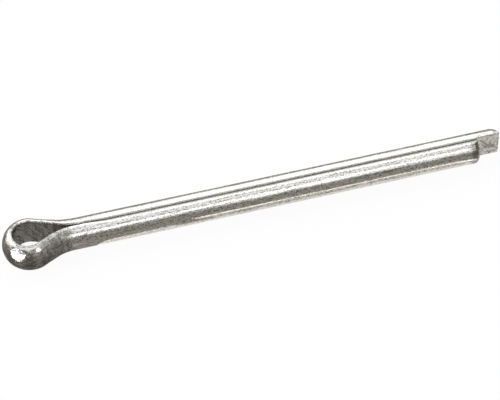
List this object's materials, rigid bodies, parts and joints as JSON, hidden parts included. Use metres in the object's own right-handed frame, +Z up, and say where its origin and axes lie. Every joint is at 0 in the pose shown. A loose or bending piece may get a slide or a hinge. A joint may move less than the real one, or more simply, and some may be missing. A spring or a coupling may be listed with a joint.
{
  "type": "cotter pin",
  "caption": "Split pin folded from one half-round wire, with a round eye and two straight legs that lie flat to flat, the far leg longer than the near one.",
  "frame": {"origin": "on the shank's axis, in the plane where the widening neck stops against the rim of a 4 mm hole, so the short leg's length under the eye is measured from it", "axes": "+X along the shank from the eye to the legs' ends, +Y towards the long leg, +Z up, square to the flat of the eye, with the pin lying as it comes to rest"},
  "size_m": [0.0606, 0.0064, 0.004],
  "materials": {
    "bright_wire": "bright drawn steel wire, slightly grained along the legs and rougher in the eye"
  },
  "bodies": {
    "root": {"cotter_pin": "bright_wire"}
  },
  "joints": []
}
